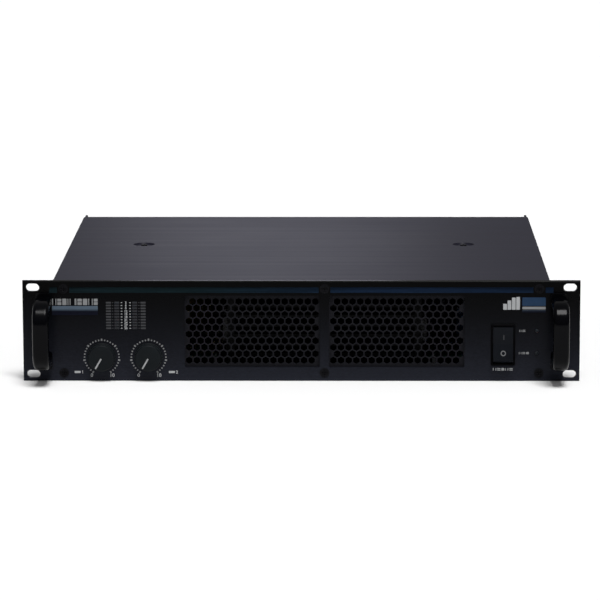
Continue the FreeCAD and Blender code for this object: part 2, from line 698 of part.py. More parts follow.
def circuit_board(span_x, span_y):
    """A horizontal board on standoffs, with a hole at each corner."""
    board = block(*span_x, *span_y, BOARD_Z, BOARD_Z + BOARD_T)
    for x, y in corner_places(span_x, span_y):
        board = board.cut(rod(1.5, 5.0, (x, y, BOARD_Z - 1), UP))
    return board


def corner_places(span_x, span_y):
    inset = 5.0
    return [(x, y) for x in (span_x[0] + inset, span_x[1] - inset) for y in (span_y[0] + inset, span_y[1] - inset)]


def board_spans():
    return [(span, AMP_BOARD_Y) for span in AMP_BOARDS] + [(SUPPLY_X, SUPPLY_Y)]


def standoffs():
    """Hexagonal pillars under the boards, and two tall ones under the cover's dimples."""
    pillars = []
    for span_x, span_y in board_spans():
        for x, y in corner_places(span_x, span_y):
            stud = rod(1.5, BOARD_T + 1.0, (x, y, BOARD_Z), UP)
            pillars.append(hex_pillar(x, y, SHEET, BOARD_Z).fuse(stud))
    for sx in (-1, 1):
        tall = hex_pillar(sx * COVER_SCREW_X, COVER_SCREW_Y, SHEET, COVER_UNDER - DIMPLE_DEPTH)
        pillars.append(tall.cut(rod(1.5, 12.0, (sx * COVER_SCREW_X, COVER_SCREW_Y, COVER_UNDER - 12.0), UP)))
    return group(pillars)


def hex_pillar(x, y, z0, z1):
    r = 3.2
    corners = [(x + r * math.cos(math.radians(60 * i)), y + r * math.sin(math.radians(60 * i)), z0) for i in range(6)]
    return polygon_prism(corners, (0, 0, z1 - z0))


def output_transistors():
    """A row of flat power transistors on the outer face of each heatsink, with legs down to the board."""
    parts = []
    for plate_x, tip_x in SINK_SPANS:
        out = -1 if tip_x > plate_x else 1
        for i in range(5):
            y = AMP_BOARD_Y[0] + 14.0 + 26.0 * i
            face = plate_x + out * 5.0
            case = block(min(plate_x, face), max(plate_x, face), y - 8, y + 8, 24.0, 44.0)
            lead_x = plate_x + out * 2.0
            leads = [block(lead_x - 0.3, lead_x + 0.3, y + dy - 0.6, y + dy + 0.6, 14.0, 24.5) for dy in (-5.4, 0, 5.4)]
            parts.append(fuse([case] + leads))
    return group(parts)


def speaker_relays():
    relays = []
    for x0, x1 in AMP_BOARDS:
        x = (x0 + x1) / 2 - 20
        y = AMP_BOARD_Y[1] - 30
        relays.append(block(x, x + 28, y, y + 13, BOARD_Z + BOARD_T, BOARD_Z + BOARD_T + 25))
    return group(relays)


def filter_capacitors():
    """Two rows of three tall cans, each with a rolled rim."""
    cans = []
    for x in (129.0, 160.5, 192.0):
        for y in (SUPPLY_Y[0] + 20.0, SUPPLY_Y[0] + 54.0):
            can = rod(15.0, 50.0, (x, y, BOARD_Z + BOARD_T), UP)
            can = can.makeFillet(1.2, [e for e in can.Edges if e.BoundBox.ZMin > BOARD_Z + BOARD_T + 49])
            groove = Part.makeTorus(15.4, 0.9, V(x, y, BOARD_Z + BOARD_T + 5), V(0, 0, 1))
            cans.append(can.cut(groove))
    return group(cans)


def bridge_rectifier():
    x, y, z = 160.0, SUPPLY_Y[0] + 92.0, BOARD_Z + BOARD_T
    case = block(x - 14, x + 14, y - 14, y + 14, z, z + 10)
    case = case.makeChamfer(3.0, [edges_along(case, UP)[0]])
    return case.cut(rod(2.6, 12.0, (x, y, z - 1), UP))


def input_board():
    """The upright board soldered to the backs of the input sockets."""
    y1 = REAR_IN_Y - 24.0
    return block(-206.0, -122.0, y1 - BOARD_T, y1, 6.0, 80.0)


# Cooling

def fan_frames():
    """Two square ducts, each with a motor seat on three struts at its outlet."""
    frames = []
    for x in FAN_X:
        y0 = REAR_IN_Y - FAN_DEPTH
        half = FAN_SIZE / 2
        frame = slab(x - half, x + half, MID_Z - half, MID_Z + half, y0, REAR_IN_Y, 4.0)
        frame = frame.cut(rod(FAN_BORE_R, FAN_DEPTH, (x, y0, MID_Z), BACK))
        waist = block(x - half - 1, x + half + 1, y0 + 4, REAR_IN_Y - 4, MID_Z - half - 1, MID_Z + half + 1)
        waist = waist.cut(rod(FAN_BORE_R + 1.6, FAN_DEPTH, (x, y0, MID_Z), BACK))
        frame = frame.cut(waist)
        pieces = [frame, rod(17.0, 4.0, (x, REAR_IN_Y - 4.0, MID_Z), BACK)]
        for i in range(3):
            strut = block(x - 2.0, x + 2.0, REAR_IN_Y - 3.5, REAR_IN_Y, MID_Z + 10.0, MID_Z + FAN_BORE_R + 1.0)
            pieces.append(strut.rotated(V(x, 0, MID_Z), V(0, 1, 0), 120 * i + 40))
        frame = fuse(pieces).cut(rod(1.55, 3.0, (x, REAR_IN_Y - 4.0, MID_Z), BACK))
        for sx in (-1, 1):
            for sz in (-1, 1):
                at = (x + sx * FAN_HOLE_D, y0 - 1, MID_Z + sz * FAN_HOLE_D)
                frame = frame.cut(rod(2.0, FAN_DEPTH + 2, at, BACK))
        frames.append(frame)
    return group(frames)


def fan_rotor(x):
    """A hub with seven tilted blades and a shaft that runs in the motor seat."""
    y0 = REAR_IN_Y - FAN_DEPTH + 1.5
    hub = rod(18.0, 18.5, (x, y0, MID_Z), BACK)
    hub = hub.makeFillet(2.0, [e for e in hub.Edges if e.BoundBox.YMax < y0 + 1e-6])
    rotor = hub.fuse(rod(1.5, 4.0, (x, y0 + 17.0, MID_Z), BACK))
    sweep = rod(FAN_BORE_R - 1.2, 14.5, (x, y0 + 3, MID_Z), BACK)
    blade = block(x - 0.9, x + 0.9, y0 - 4, y0 + 22, MID_Z + 12.0, MID_Z + 40.0)
    blade = blade.rotated(V(x, y0 + 9.25, MID_Z), V(0, 0, 1), 42).common(sweep)
    for i in range(7):
        rotor = rotor.fuse(blade.rotated(V(x, 0, MID_Z), V(0, 1, 0), 360.0 / 7 * i))
    return rotor


def fan_guards():
    """Wire finger guards: rings on cross wires that end in flat eyes under the fan screws."""
    guards = []
    wire = 0.8
    for x in FAN_X:
        y_ring = REAR_Y + 3.0 * wire
        pieces = [Part.makeTorus(r, wire, V(x, y_ring, MID_Z), V(0, 1, 0)) for r in (9.0, 18.5, 28.0, 37.5)]
        reach = FAN_HOLE_D * math.sqrt(2)
        for i in range(2):
            spoke = rod(wire, 2 * reach - 7.6, (x - reach + 3.8, REAR_Y + wire * 1.2, MID_Z), RIGHT)
            pieces.append(spoke.rotated(V(x, 0, MID_Z), V(0, 1, 0), 45 + 90 * i))
        for sx in (-1, 1):
            for sz in (-1, 1):
                at = (x + sx * FAN_HOLE_D, REAR_Y, MID_Z + sz * FAN_HOLE_D)
                pieces.append(rod(4.2, 1.2, at, BACK).cut(rod(2.0, 1.2, at, BACK)))
        guards.append(fuse(pieces))
    return group(guards)


def fan_screws():
    screw = pan_screw(2.0, 12.0, 3.6, 2.0)
    return group([placed(screw, (x, REAR_Y + 1.2, z), BACK) for x, z in fan_screw_places()])


# Rear connectors and controls

def mains_inlet():
    """A flanged appliance inlet with a deep cavity for the cord's connector."""
    x, z = INLET_X, INLET_Z
    flange = slab(x - 25, x + 25, z - 13.5, z + 13.5, REAR_Y, REAR_Y + 2.5, 6.0)
    case = block(x - 14, x + 14, REAR_IN_Y - 22.0, REAR_Y + 0.5, z - 10.5, z + 10.5)
    cavity = block(x - 12.2, x + 12.2, REAR_IN_Y - 16.0, REAR_Y + 3, z - 8.6, z + 8.6)
    cavity = cavity.makeChamfer(5.0, [e for e in edges_along(cavity, BACK) if e.BoundBox.ZMin > z])
    inlet = flange.fuse(case).cut(cavity)
    for s in (-1, 1):
        inlet = inlet.cut(rod(1.5, 6.0, (x + s * 20.0, REAR_Y - 1, z), BACK))
    return inlet.cut(mains_pins())


def mains_pins():
    """Three flat blades that stand in the inlet's cavity and end as tabs behind it."""
    blades = []
    for dx, dz in ((-7.0, -2.0), (0.0, 2.0), (7.0, -2.0)):
        x, z = INLET_X + dx, INLET_Z + dz
        blades.append(block(x - 1, x + 1, REAR_IN_Y - 30.0, REAR_IN_Y - 1.5, z - 2, z + 2))
    return group(blades)


def circuit_breaker():
    """A push-to-reset breaker held by a hexagonal nut, with a guided bore for its button."""
    x, z = BREAKER_X, BREAKER_Z
    case = block(x - 7.5, x + 7.5, REAR_IN_Y - 28.0, REAR_IN_Y, z - 15, z + 15)
    bushing = rod(5.8, SHEET + 6.0, (x, REAR_IN_Y, z), BACK)
    nut = Part.Face(hexagon(x, REAR_Y, z, 15.0)).extrude(V(0, 3.0, 0))
    bore = rod(3.35, 20.0, (x, REAR_Y + 6.0 - 20.0 + 0.1, z), BACK)
    return fuse([case, bushing, nut]).cut(bore)


def breaker_button():
    x, z = BREAKER_X, BREAKER_Z
    button = rod(3.28, 18.0, (x, REAR_Y - 10.0, z), BACK)
    return button.makeFillet(0.8, [e for e in button.Edges if e.BoundBox.YMin > REAR_Y + 7])


def socket_flange(x, z):
    return slab(x - 13, x + 13, z - 15.5, z + 15.5, REAR_Y, REAR_Y + 2.0, 2.5)


def flange_holes(x, z):
    return group([rod(1.5, 4.0, (x + s * 9.5, REAR_Y - 1, z - s * 12.0), BACK) for s in (-1, 1)])


def input_sockets():
    """Two three-pole inputs: a ring groove takes the plug's shell, and three holes take its pins."""
    sockets = []
    for x in INPUT_X:
        barrel = rod(12.0, 24.0 + SHEET, (x, REAR_IN_Y - 24.0, INPUT_Z), BACK)
        body = socket_flange(x, INPUT_Z).fuse(barrel)
        groove = rod(9.6, 14.0, (x, REAR_Y - 11.0, INPUT_Z), BACK).cut(rod(8.0, 14.0, (x, REAR_Y - 11.0, INPUT_Z), BACK))
        pins = []
        for angle in (90, 210, 330):
            px = x + 4.2 * math.cos(math.radians(angle))
            pz = INPUT_Z - 4.2 * math.sin(math.radians(angle))
            pins.append(rod(1.3, 14.0, (px, REAR_Y - 11.0, pz), BACK))
        slot = block(x - 4.0, x + 4.0, REAR_IN_Y - 8.0, REAR_Y + 3, INPUT_Z + 10.6, INPUT_Z + 14.6)
        sockets.append(body.cut(group([groove, slot] + pins)).cut(flange_holes(x, INPUT_Z)))
    return group(sockets)


def input_latch(x):
    """The push tab that frees a plug from its input socket."""
    tab = block(x - 3.8, x + 3.8, REAR_IN_Y - 5.0, REAR_Y + 4.0, INPUT_Z + 10.8, INPUT_Z + 14.4)
    return tab.makeFillet(0.6, [e for e in tab.Edges if e.BoundBox.YMin > REAR_Y + 3.9])


def jack_sockets():
    """Two jack sockets with a nut outside and a square case inside."""
    jacks = []
    for x in INPUT_X:
        case = block(x - 8, x + 8, REAR_IN_Y - 24.0, REAR_IN_Y, JACK_Z - 8, JACK_Z + 8)
        bushing = rod(4.7, SHEET + 3.5, (x, REAR_IN_Y, JACK_Z), BACK)
        nut = Part.Face(hexagon(x, REAR_Y, JACK_Z, 13.0)).extrude(V(0, 2.5, 0))
        bore = rod(JACK_BORE_R, JACK_BORE_L, (x, REAR_Y + 3.5 - JACK_BORE_L, JACK_Z), BACK)
        jacks.append(fuse([case, bushing, nut]).cut(bore))
    return group(jacks)


def speaker_sockets():
    """Two round locking speaker sockets with a centre post inside a deep ring."""
    sockets = []
    for z in SPEAKER_Z:
        barrel = rod(12.0, 24.0 + SHEET, (SPEAKER_X, REAR_IN_Y - 24.0, z), BACK)
        body = socket_flange(SPEAKER_X, z).fuse(barrel)
        start = (SPEAKER_X, REAR_Y - 14.0, z)
        ring = rod(10.2, 17.0, start, BACK).cut(rod(6.9, 13.0, start, BACK))
        keys = [block(SPEAKER_X + s * 9.0 - 1.5, SPEAKER_X + s * 9.0 + 1.5, REAR_Y - 8, REAR_Y + 3, z - 1.2, z + 1.2)
                for s in (-1, 1)]
        bore = rod(2.0, 20.0, (SPEAKER_X, REAR_Y - 10.0, z), BACK)
        sockets.append(body.cut(group([ring, bore] + keys)).cut(flange_holes(SPEAKER_X, z)))
    return group(sockets)


def post_studs():
    """Binding post studs with a round base outside and a solder end inside."""
    studs = []
    for x, z in post_places():
        base = rod(6.5, 2.6, (x, REAR_Y, z), BACK)
        neck = rod(3.0, SHEET, (x, REAR_IN_Y, z), BACK)
        stud = rod(2.0, 12.0 + SHEET + 12.5, (x, REAR_IN_Y - 12.0, z), BACK)
        nut = Part.Face(hexagon(x, REAR_IN_Y - 2.5, z, 9.0)).extrude(V(0, 2.5, 0))
        studs.append(fuse([base, neck, stud, nut]))
    return group(studs)


def post_cap(x, z):
    """A fluted screw cap with a plug hole in its end."""
    y0 = REAR_Y + 2.8
    cap = rod(6.3, 14.0, (x, y0, z), BACK)
    cap = cap.makeChamfer(0.8, [e for e in cap.Edges if isinstance(e.Curve, Part.Circle)])
    flutes = []
    for i in range(12):
        a = 2 * math.pi * i / 12
        flutes.append(rod(0.9, 14.0, (x + 6.6 * math.cos(a), y0 + 2.5, z + 6.6 * math.sin(a)), BACK))
    bore = rod(2.06, 10.5, (x, y0, z), BACK)
    plug_hole = rod(1.9, 2.5, (x, y0 + 11.6, z), BACK)
    return cap.cut(group(flutes + [bore, plug_hole]))


def mode_switch_body():
    """A slide switch behind the rear panel, open towards its slider."""
    plate = block(MODE_X - 5, MODE_X + 5, REAR_IN_Y - 1.0, REAR_IN_Y, MODE_Z - 14, MODE_Z + 14)
    case = block(MODE_X - 5, MODE_X + 5, REAR_IN_Y - 9.0, REAR_IN_Y - 0.5, MODE_Z - 7.5, MODE_Z + 7.5)
    cavity = block(MODE_X - 2.4, MODE_X + 2.4, REAR_IN_Y - 5.0, REAR_Y, MODE_Z - 5.3, MODE_Z + 5.3)
    body = plate.fuse(case).cut(cavity)
    for s in (-1, 1):
        body = body.cut(rod(1.5, 4.0, (MODE_X, REAR_IN_Y - 2.0, MODE_Z + s * 10.0), BACK))
    return body


def mode_switch_slider():
    """The slider, at the lower end of its travel."""
    low = MODE_Z - 5.2
    slider = block(MODE_X - 2.2, MODE_X + 2.2, REAR_IN_Y - 4.8, REAR_Y + 3.0, low, low + 5.0)
    grooves = [block(MODE_X - 3, MODE_X + 3, REAR_Y + 2.5, REAR_Y + 4, low + d, low + d + 0.6) for d in (1.0, 2.2, 3.4)]
    return slider.cut(group(grooves))


def all_nodes():
    nodes = {
        "front_panel": front_panel(),
        "accent_strips": accent_strips(),
        "grille_left": grille(GRILLE_SPANS[0]),
        "grille_right": grille(GRILLE_SPANS[1]),
        "handle_left": handle(-1),
        "handle_right": handle(1),
        "handle_screws": handle_screws(),
        "panel_screws": panel_screws(),
        "level_pots": level_pots(),
        "pot_nuts": pot_nuts(),
        "front_board": front_board(),
        "meter_leds": meter_leds(),
        "status_leds": status_leds(),
        "power_switch_frame": power_switch_frame(),
        "power_switch_rocker": power_switch_rocker(),
        "chassis_base": chassis_base(),
        "top_cover": top_cover(),
        "cover_screws": cover_screws(),
        "rear_panel": rear_panel(),
        "rear_screws": rear_screws(),
        "rear_support_left": rear_support(-1),
        "rear_support_right": rear_support(1),
        "transformer": transformer(),
        "transformer_clamp": transformer_clamp(),
        "heatsink_left": heatsink(SINK_SPANS[0]),
        "heatsink_right": heatsink(SINK_SPANS[1]),
        "amplifier_board_left": circuit_board(AMP_BOARDS[0], AMP_BOARD_Y),
        "amplifier_board_right": circuit_board(AMP_BOARDS[1], AMP_BOARD_Y),
        "output_transistors": output_transistors(),
        "speaker_relays": speaker_relays(),
        "power_supply_board": circuit_board(SUPPLY_X, SUPPLY_Y),
        "filter_capacitors": filter_capacitors(),
        "bridge_rectifier": bridge_rectifier(),
        "standoffs": standoffs(),
        "input_board": input_board(),
        "fan_frames": fan_frames(),
        "fan_rotor_left": fan_rotor(FAN_X[0]),
        "fan_rotor_right": fan_rotor(FAN_X[1]),
        "fan_guards": fan_guards(),
        "fan_screws": fan_screws(),
        "mains_inlet": mains_inlet(),
        "mains_pins": mains_pins(),
        "circuit_breaker": circuit_breaker(),
        "breaker_button": breaker_button(),
        "input_sockets": input_sockets(),
        "jack_sockets": jack_sockets(),
        "speaker_sockets": speaker_sockets(),
        "post_studs": post_studs(),
        "mode_switch_body": mode_switch_body(),
        "mode_switch_slider": mode_switch_slider(),
    }
    for i, x in enumerate(KNOB_X, 1):
        nodes[f"level_knob_{i}"] = level_knob(x)
        nodes[f"level_shaft_{i}"] = level_shaft(x)
    for i, x in enumerate(INPUT_X, 1):
        nodes[f"input_latch_{i}"] = input_latch(x)
    for i, (x, z) in enumerate(post_places(), 1):
        nodes[f"post_cap_{i}"] = post_cap(x, z)
    return nodes


os.makedirs("parts", exist_ok=True)
for name, shape in all_nodes().items():
    shape.exportStep(f"parts/{name}.step")
    solids = shape.Solids
    box = shape.BoundBox
    print(name, len(solids), "valid" if shape.isValid() else "INVALID", round(shape.Volume),
          [round(v, 1) for v in (box.XMin, box.XMax, box.YMin, box.YMax, box.ZMin, box.ZMax)])
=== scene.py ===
import json
import math

import bmesh
import bpy
from mathutils import Matrix, Quaternion, Vector
from mathutils.bvhtree import BVHTree


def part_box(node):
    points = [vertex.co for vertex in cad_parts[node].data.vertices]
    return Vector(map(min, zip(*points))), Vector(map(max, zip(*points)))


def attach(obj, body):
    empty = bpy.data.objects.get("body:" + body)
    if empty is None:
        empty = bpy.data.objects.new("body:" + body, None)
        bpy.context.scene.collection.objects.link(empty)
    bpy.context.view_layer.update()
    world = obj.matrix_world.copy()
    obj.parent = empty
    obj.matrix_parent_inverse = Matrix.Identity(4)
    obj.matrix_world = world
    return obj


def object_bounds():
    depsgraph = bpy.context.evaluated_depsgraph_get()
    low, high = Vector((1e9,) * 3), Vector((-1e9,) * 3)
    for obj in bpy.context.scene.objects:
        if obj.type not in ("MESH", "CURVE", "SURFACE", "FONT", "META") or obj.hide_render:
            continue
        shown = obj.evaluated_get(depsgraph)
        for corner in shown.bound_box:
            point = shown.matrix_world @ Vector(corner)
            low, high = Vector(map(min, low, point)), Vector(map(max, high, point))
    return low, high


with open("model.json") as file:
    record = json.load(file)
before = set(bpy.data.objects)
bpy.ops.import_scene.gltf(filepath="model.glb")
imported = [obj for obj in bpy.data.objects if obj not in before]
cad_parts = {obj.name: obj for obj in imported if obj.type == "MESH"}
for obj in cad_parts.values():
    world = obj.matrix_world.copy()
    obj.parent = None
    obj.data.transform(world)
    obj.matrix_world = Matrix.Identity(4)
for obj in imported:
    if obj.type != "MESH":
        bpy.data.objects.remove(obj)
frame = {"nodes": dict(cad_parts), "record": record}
cad_lo, cad_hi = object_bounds()

MM = 0.001
NODES = frame["nodes"]
panel_lo, panel_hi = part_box("front_panel")
FRONT_Y = panel_lo.y

# A print stands this far out of the surface that it lies on, and sinks this far into it
PRINT_T = 0.05 * MM
PRINT_SINK = 0.02 * MM


def middle(node):
    """The centre of a CAD node's box."""
    lo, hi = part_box(node)
    return (lo + hi) / 2


# Materials


class Finish:
    """A material under construction: its calls add shader nodes, which all end in one Principled shader."""

    def __init__(self, name, roughness=0.5, metallic=0.0, specular=0.5, coat=0.0):
        self.material = bpy.data.materials.new(name)
        self.material.use_nodes = True
        self.tree = self.material.node_tree
        self.shader = self.tree.nodes["Principled BSDF"]
        self.shader.inputs["Roughness"].default_value = roughness
        self.shader.inputs["Metallic"].default_value = metallic
        self.shader.inputs["Specular IOR Level"].default_value = specular
        self.shader.inputs["Coat Weight"].default_value = coat
        self.place = self.make("TexCoord").outputs["Object"]

    def make(self, kind, inputs=None, **settings):
        made = self.tree.nodes.new("ShaderNode" + kind)
        for key, value in settings.items():
            setattr(made, key, value)
        for key, value in (inputs or {}).items():
            if isinstance(value, bpy.types.NodeSocket):
                self.tree.links.new(value, made.inputs[key])
            else:
                made.inputs[key].default_value = value
        return made

    def stretched(self, x, y, z):
        """Object coordinates scaled along each axis."""
        return self.make("Mapping", {"Vector": self.place, "Scale": (x, y, z)}).outputs["Vector"]

    def noise(self, scale, detail=3.0, place=None):
        """Soft noise from 0 to 1; scale is in features per metre."""
        inputs = {"Vector": place or self.place, "Scale": scale, "Detail": detail}
        return self.make("TexNoise", inputs).outputs["Fac"]

    def cells(self, scale, feature="F1", randomness=1.0):
        """Distances within a pattern of cells; scale is in cells per metre."""
        inputs = {"Vector": self.place, "Scale": scale, "Randomness": randomness}
        return self.make("TexVoronoi", inputs, feature=feature).outputs["Distance"]

    def math(self, operation, a, b=0.0):
        return self.make("Math", {0: a, 1: b}, operation=operation).outputs[0]

    def remap(self, value, low, high, to_low, to_high):
        inputs = {"Value": value, "From Min": low, "From Max": high, "To Min": to_low, "To Max": to_high}
        return self.make("MapRange", inputs).outputs["Result"]

    def axis(self, name):
        """One object coordinate, in metres."""
        return self.make("SeparateXYZ", {"Vector": self.place}).outputs[name]

    def blend(self, factor, a, b):
        """A mix of two colours."""
        colors = {0: factor}
        for key, color in ((6, a), (7, b)):
            colors[key] = color if isinstance(color, bpy.types.NodeSocket) else (*color, 1.0)
        return self.make("Mix", colors, data_type="RGBA").outputs[2]

    def facing(self, axis):
        """How far the surface faces along one axis, from -1 to 1."""
        normal = self.make("NewGeometry").outputs["Normal"]
        return self.make("SeparateXYZ", {"Vector": normal}).outputs[axis]

    def color(self, value):
        self.tree.links.new(value, self.shader.inputs["Base Color"])

    def rough(self, value):
        self.tree.links.new(value, self.shader.inputs["Roughness"])

    def metal(self, value):
        self.tree.links.new(value, self.shader.inputs["Metallic"])

    def relief(self, *layers):
        """Stacks bumps; each layer is a height and its depth in metres."""
        normal = None
        for height, depth in layers:
            inputs = {"Height": height, "Distance": depth, "Strength": 1.0}
            if normal is not None:
                inputs["Normal"] = normal
            normal = self.make("Bump", inputs).outputs["Normal"]
        self.tree.links.new(normal, self.shader.inputs["Normal"])


def shade(color, by):
    return tuple(c * by for c in color)


def moulded(name, color, roughness=0.45, specular=0.4, grain=2200.0, depth=0.02 * MM):
    """Spark-eroded plastic: a fine even grain, slow changes of tone and slightly polished high spots."""
    f = Finish(name, specular=specular)
    slow = f.noise(28.0, 5.0)
    fine = f.noise(grain, 2.0)
    mixed = f.math("ADD", f.math("MULTIPLY", slow, 0.7), f.math("MULTIPLY", fine, 0.3))
    f.color(f.blend(f.remap(mixed, 0.35, 0.65, 0, 1), shade(color, 0.8), shade(color, 1.22)))
    f.rough(f.remap(mixed, 0.3, 0.7, roughness - 0.07, roughness + 0.07))
    f.relief((fine, depth))
    return f.material


def powder_coat(name, color, roughness, specular, grain=1400.0, depth=0.03 * MM):
    """Baked powder paint: a low orange-peel under a fine sparkle of grain, and faint handling marks."""
    f = Finish(name, specular=specular)
    slow = f.noise(9.0, 4.0)
    peel = f.noise(420.0, 2.0)
    fine = f.cells(grain)
    marks = f.noise(1.0, 6.0, f.stretched(14.0, 60.0, 60.0))
    tone = f.math("ADD", f.math("MULTIPLY", slow, 0.6), f.math("MULTIPLY", marks, 0.4))
    color_out = f.blend(f.remap(tone, 0.35, 0.65, 0, 1), shade(color, 0.86), shade(color, 1.16))
    speck = f.remap(fine, 0.0, 0.7, 0.88, 1.12)
    f.color(f.make("VectorMath", {0: color_out, "Scale": speck}, operation="SCALE").outputs[0])
    f.rough(f.remap(tone, 0.3, 0.7, roughness - 0.06, roughness + 0.06))
    f.relief((peel, depth), (fine, depth * 0.6))
    return f.material


def brushed(name, color, roughness=0.32, along="X", scratch=900.0, depth=0.008 * MM):
    """Bare metal with fine lines along one axis and a slight stain."""
    f = Finish(name, metallic=1.0)
    scales = {"X": (0.02, 1.0, 1.0), "Y": (1.0, 0.02, 1.0), "Z": (1.0, 1.0, 0.02)}[along]
    lines = f.noise(scratch, 4.0, f.stretched(*scales))
    stain = f.noise(45.0, 5.0)
    mixed = f.math("ADD", f.math("MULTIPLY", lines, 0.55), f.math("MULTIPLY", stain, 0.45))
    f.color(f.blend(f.remap(mixed, 0.35, 0.65, 0, 1), shade(color, 0.84), shade(color, 1.08)))
    f.rough(f.remap(mixed, 0.3, 0.7, roughness - 0.08, roughness + 0.1))
    f.relief((lines, depth))
    return f.material


def plated(name, color, roughness=0.24):
    """Zinc or chrome plate: clouded reflections with fine pits."""
    f = Finish(name, metallic=1.0)
    cloud = f.noise(160.0, 5.0)
    pits = f.cells(1500.0)
    f.color(f.blend(f.remap(cloud, 0.35, 0.65, 0, 1), shade(color, 0.8), shade(color, 1.08)))
    f.rough(f.remap(cloud, 0.3, 0.7, roughness - 0.07, roughness + 0.12))
    f.relief((pits, 0.006 * MM), (cloud, 0.01 * MM))
    return f.material


def panel_finish(name):
    """Satin black aluminium, its colour painted lighter towards its lower edge as a painted reflection of the
    white floor.
    """
    f = Finish(name, specular=0.042)
    # Painted reflection: depth runs from 1 at the lower edge to 0 at the top and fades the colour from lighter
    # to nearly black
    depth = f.remap(f.axis("Z"), panel_lo.z, panel_hi.z, 1, 0)
    slow = f.noise(7.0, 4.0)
    grain = f.noise(1600.0, 3.0, f.stretched(0.25, 1.0, 1.0))
    # low is the colour of the painted floor reflection at the lower edge, high the nearly black panel at the
    # top
    low = f.blend(slow, (0.0154, 0.0169, 0.0240), (0.0130, 0.0144, 0.0208))
    high = f.blend(slow, (0.0006, 0.0006, 0.0008), (0.0003, 0.0003, 0.0004))
    base = f.blend(f.math("POWER", depth, 1.9), high, low)
    speck = f.remap(grain, 0.3, 0.7, 0.8, 1.2)
    f.color(f.make("VectorMath", {0: base, "Scale": speck}, operation="SCALE").outputs[0])
    f.rough(f.remap(grain, 0.3, 0.7, 0.16, 0.27))
    f.relief((grain, 0.004 * MM), (f.noise(260.0, 2.0), 0.004 * MM))
    return f.material


def cover_finish(name):
    """The cover's powder coat: a violet-blue black with faint streaks from side to side."""
    f = Finish(name, specular=0.09)
    streaks = f.noise(1.0, 5.0, f.stretched(2.2, 90.0, 90.0))
    slow = f.noise(5.0, 4.0)
    peel = f.noise(500.0, 2.0)
    fine = f.cells(1500.0)
    tone = f.math("ADD", f.math("MULTIPLY", streaks, 0.55), f.math("MULTIPLY", slow, 0.45))
    base = f.blend(f.remap(tone, 0.35, 0.65, 0, 1), (0.0115, 0.0112, 0.0185), (0.0175, 0.0172, 0.0270))
    speck = f.remap(fine, 0.0, 0.7, 0.85, 1.15)
    f.color(f.make("VectorMath", {0: base, "Scale": speck}, operation="SCALE").outputs[0])
    f.rough(f.remap(tone, 0.3, 0.7, 0.36, 0.46))
    f.relief((peel, 0.02 * MM), (fine, 0.014 * MM))
    return f.material


def accent_finish(name):
    """Brushed bright strip, teal on the left and bluer on the right."""
    f = Finish(name, metallic=0.85)
    lines = f.noise(1400.0, 4.0, f.stretched(0.01, 1.0, 1.0))
    across = f.remap(f.axis("X"), -0.1, 0.05, 0, 1)
    tint = f.blend(across, (0.0085, 0.0215, 0.0270), (0.0085, 0.0215, 0.0520))
    worn = f.blend(f.remap(lines, 0.35, 0.65, 0, 1), (0.75, 0.75, 0.75), (1.25, 1.25, 1.25))
    f.color(f.make("Mix", {0: 1.0, 6: tint, 7: worn}, data_type="RGBA", blend_type="MULTIPLY").outputs[2])
    f.rough(f.remap(lines, 0.3, 0.7, 0.28, 0.42))
    f.relief((lines, 0.01 * MM))
    return f.material


def board_finish(name):
    """Green solder mask over copper tracks, with tinned pads and white component outlines."""
    f = Finish(name, specular=0.5, coat=0.2)
    cell = f.cells(240.0, "DISTANCE_TO_EDGE", 0.6)
    track = f.remap(cell, 0.10, 0.16, 0, 1)
    pads = f.remap(f.cells(240.0, "F1", 0.6), 0.16, 0.2, 1, 0)
    weave = f.noise(900.0, 2.0)
    mask = f.blend(track, (0.006, 0.038, 0.016), (0.009, 0.062, 0.026))
    f.color(f.blend(pads, mask, (0.40, 0.39, 0.36)))
    f.metal(f.remap(pads, 0.4, 0.6, 0, 1))
    f.rough(f.remap(weave, 0.3, 0.7, 0.22, 0.38))
    f.relief((track, 0.03 * MM), (weave, 0.008 * MM))
    return f.material


def winding_finish(name):
    """Polyester tape wrapped round the ring over enamelled copper: overlapping turns that fan out."""
    tape_turns, wire_turns = 72, 460.0
    f = Finish(name, specular=0.5, coat=0.15)
    centre = middle("transformer")
    dx = f.math("SUBTRACT", f.axis("X"), centre.x)
    dy = f.math("SUBTRACT", f.axis("Y"), centre.y)
    turn = f.math("ARCTAN2", dy, dx)
    wraps = f.math("FRACT", f.math("MULTIPLY", turn, tape_turns / math.tau))
    wires = f.math("SINE", f.math("MULTIPLY", turn, wire_turns))
    stain = f.noise(60.0, 4.0)
    copper = f.blend(f.remap(wires, -1, 1, 0, 1), (0.24, 0.10, 0.025), (0.50, 0.24, 0.06))
    tape = f.blend(stain, (0.42, 0.36, 0.10), (0.55, 0.47, 0.16))
    f.color(f.blend(f.remap(wraps, 0.0, 1.0, 0.45, 0.9), copper, tape))
    f.rough(f.remap(stain, 0.3, 0.7, 0.3, 0.5))
    f.relief((wraps, 0.12 * MM), (wires, 0.03 * MM))
    return f.material


def capacitor_finish(name):
    """A printed sleeve round each can, with a pale stripe, and bare scored aluminium on top."""
    f = Finish(name, specular=0.5)
    up = f.math("GREATER_THAN", f.facing("Z"), 0.7)
    side = f.remap(f.facing("X"), 0.84, 0.86, 0, 1)
    dashes = f.math("GREATER_THAN", f.math("SINE", f.math("MULTIPLY", f.axis("Z"), 900.0)), 0.0)
    film = f.noise(30.0, 3.0)
    sleeve = f.blend(film, (0.010, 0.016, 0.050), (0.016, 0.026, 0.080))
    striped = f.blend(f.math("MULTIPLY", side, f.remap(dashes, 0, 1, 0.55, 1.0)), sleeve, (0.50, 0.52, 0.54))
    top = f.blend(f.noise(700.0, 3.0), (0.60, 0.60, 0.60), (0.75, 0.75, 0.76))
    f.color(f.blend(up, striped, top))
    f.metal(up)
    f.rough(f.remap(film, 0.3, 0.7, 0.25, 0.4))
    f.relief((f.noise(80.0, 2.0), 0.05 * MM))
    return f.material


